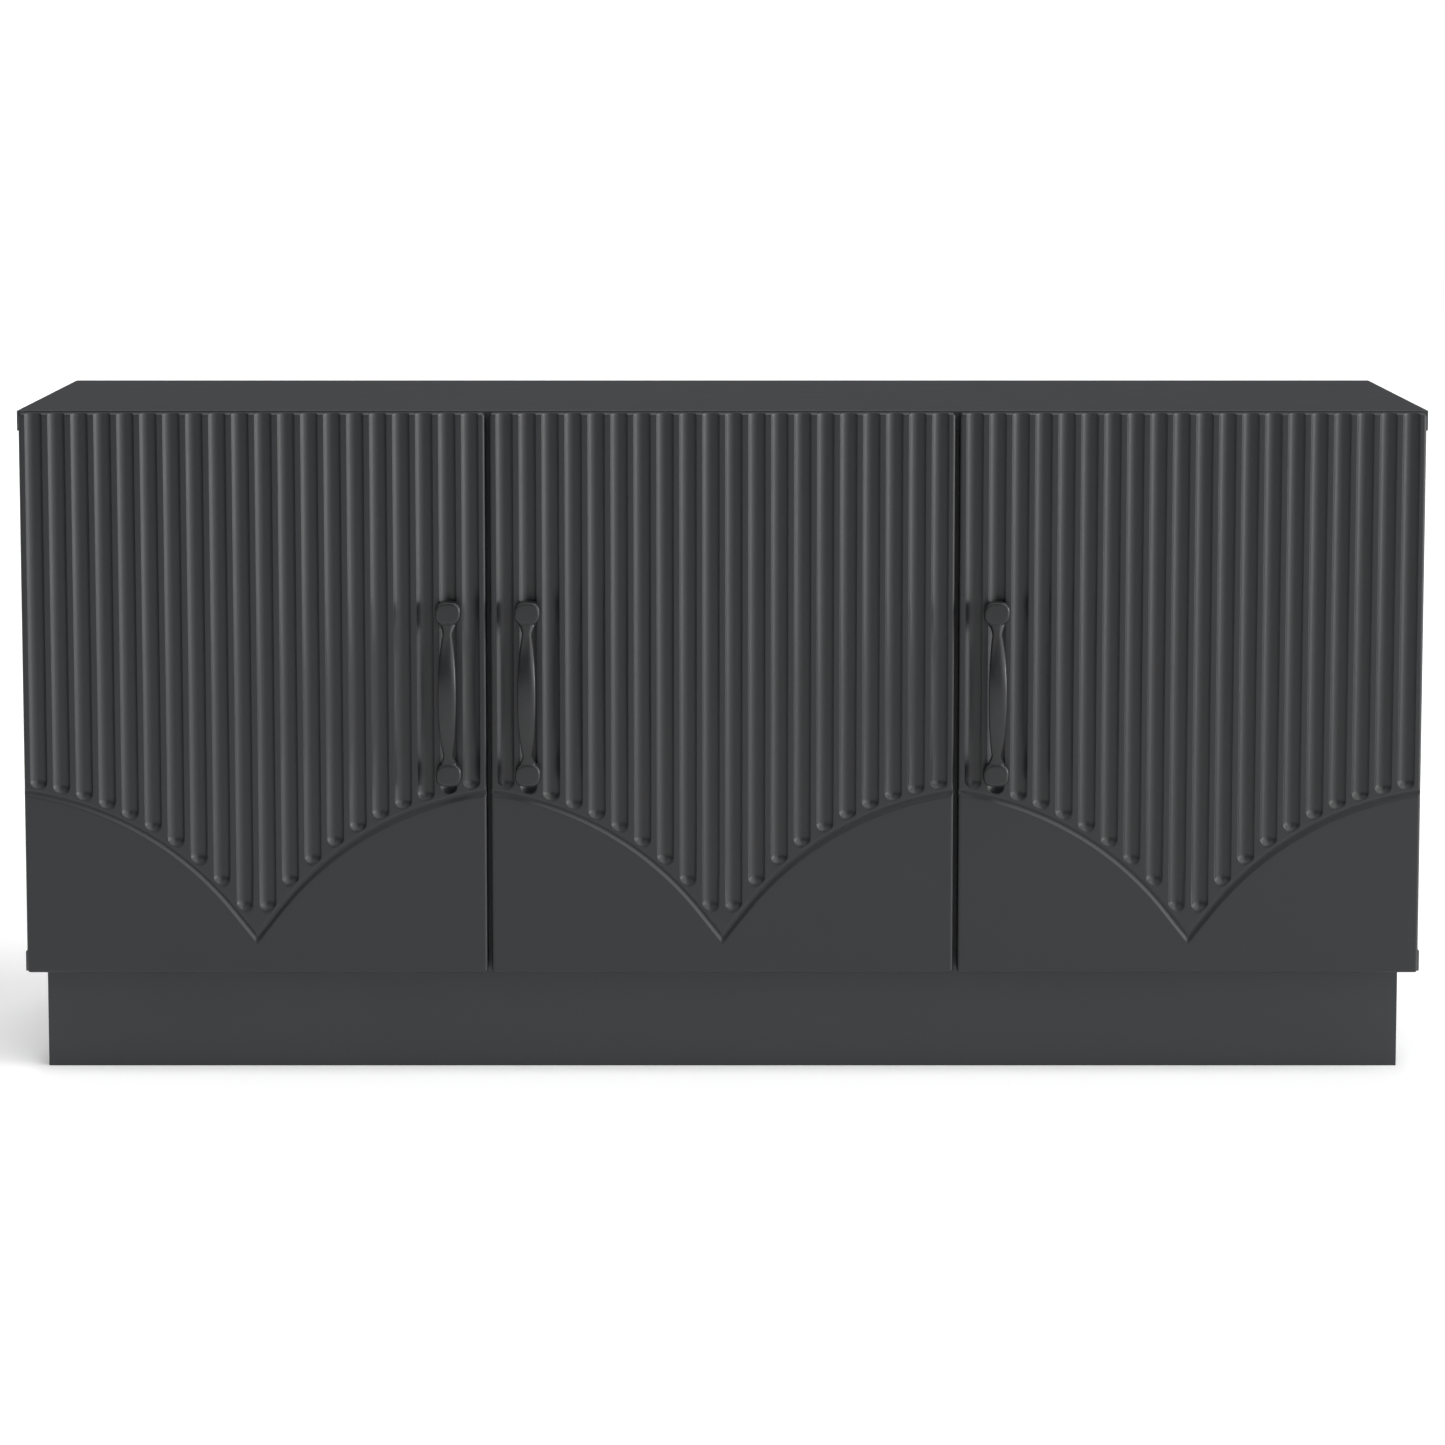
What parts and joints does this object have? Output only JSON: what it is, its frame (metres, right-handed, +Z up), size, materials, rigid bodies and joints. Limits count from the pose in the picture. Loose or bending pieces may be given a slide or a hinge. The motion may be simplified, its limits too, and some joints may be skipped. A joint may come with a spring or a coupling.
{
  "type": "sideboard buffet",
  "caption": "Low charcoal sideboard on a recessed plinth, with hinged doors carved with upright flutes that end above a curved V-shaped line, metal bow handles and shelves inside.",
  "frame": {"origin": "on the floor, under the middle of the object's whole box, handles included", "axes": "+X along the front to the right as seen from the front, +Y from the front to the back, +Z up"},
  "size_m": [1.4, 0.4342, 0.667],
  "materials": {
    "painted_board": "satin lacquer, near-black charcoal",
    "painted_front": "satin lacquer, near-black charcoal",
    "hardboard": "dark painted hardboard",
    "bare_wood": "bare wood",
    "zinc_casting": "die-cast zinc",
    "zinc_steel": "zinc plated",
    "nickel_steel": "nickel plated",
    "pewter": "satin dark pewter",
    "clear_rubber": "translucent soft plastic"
  },
  "bodies": {
    "carcass": {"top_panel": "painted_board", "bottom_panel": "painted_board", "left_side_panel": "painted_board", "right_side_panel": "painted_board", "left_partition": "painted_board", "right_partition": "painted_board", "left_back_panel": "hardboard", "middle_back_panel": "hardboard", "right_back_panel": "hardboard", "left_shelf": "painted_board", "middle_shelf": "painted_board", "right_shelf": "painted_board", "shelf_pins": "zinc_steel", "cam_locks": "zinc_casting", "cam_bolts": "zinc_steel", "dowels": "bare_wood", "plinth_front": "painted_board", "plinth_back": "painted_board", "plinth_left_end": "painted_board", "plinth_right_end": "painted_board", "plinth_left_brace": "bare_wood", "plinth_right_brace": "bare_wood", "plinth_blocks": "bare_wood", "plinth_screws": "zinc_steel", "left_hinge_arms": "nickel_steel", "left_hinge_plates": "nickel_steel", "middle_hinge_arms": "nickel_steel", "middle_hinge_plates": "nickel_steel", "right_hinge_arms": "nickel_steel", "right_hinge_plates": "nickel_steel", "hinge_plate_screws": "zinc_steel", "hinge_adjusting_screws": "zinc_steel"},
    "left_door": {"left_door": "painted_front", "left_handle": "pewter", "left_handle_screws": "zinc_steel", "left_hinge_cups": "nickel_steel", "left_hinge_pins": "zinc_steel", "left_hinge_cup_screws": "zinc_steel", "left_door_bumpers": "clear_rubber"},
    "middle_door": {"middle_door": "painted_front", "middle_handle": "pewter", "middle_handle_screws": "zinc_steel", "middle_hinge_cups": "nickel_steel", "middle_hinge_pins": "zinc_steel", "middle_hinge_cup_screws": "zinc_steel", "middle_door_bumpers": "clear_rubber"},
    "right_door": {"right_door": "painted_front", "right_handle": "pewter", "right_handle_screws": "zinc_steel", "right_hinge_cups": "nickel_steel", "right_hinge_pins": "zinc_steel", "right_hinge_cup_screws": "zinc_steel", "right_door_bumpers": "clear_rubber"}
  },
  "joints": [
    {"name": "left_door_hinge", "type": "hinge", "parent": "carcass", "child": "left_door", "pos_m": [-0.6867, -0.1746, 0.38525], "axis": [0, 0, -1], "range_deg": [0, 95]},
    {"name": "middle_door_hinge", "type": "hinge", "parent": "carcass", "child": "middle_door", "pos_m": [0.22177, -0.1746, 0.38525], "axis": [0, 0, 1], "range_deg": [0, 95]},
    {"name": "right_door_hinge", "type": "hinge", "parent": "carcass", "child": "right_door", "pos_m": [0.6867, -0.1746, 0.38525], "axis": [0, 0, 1], "range_deg": [0, 95]}
  ]
}
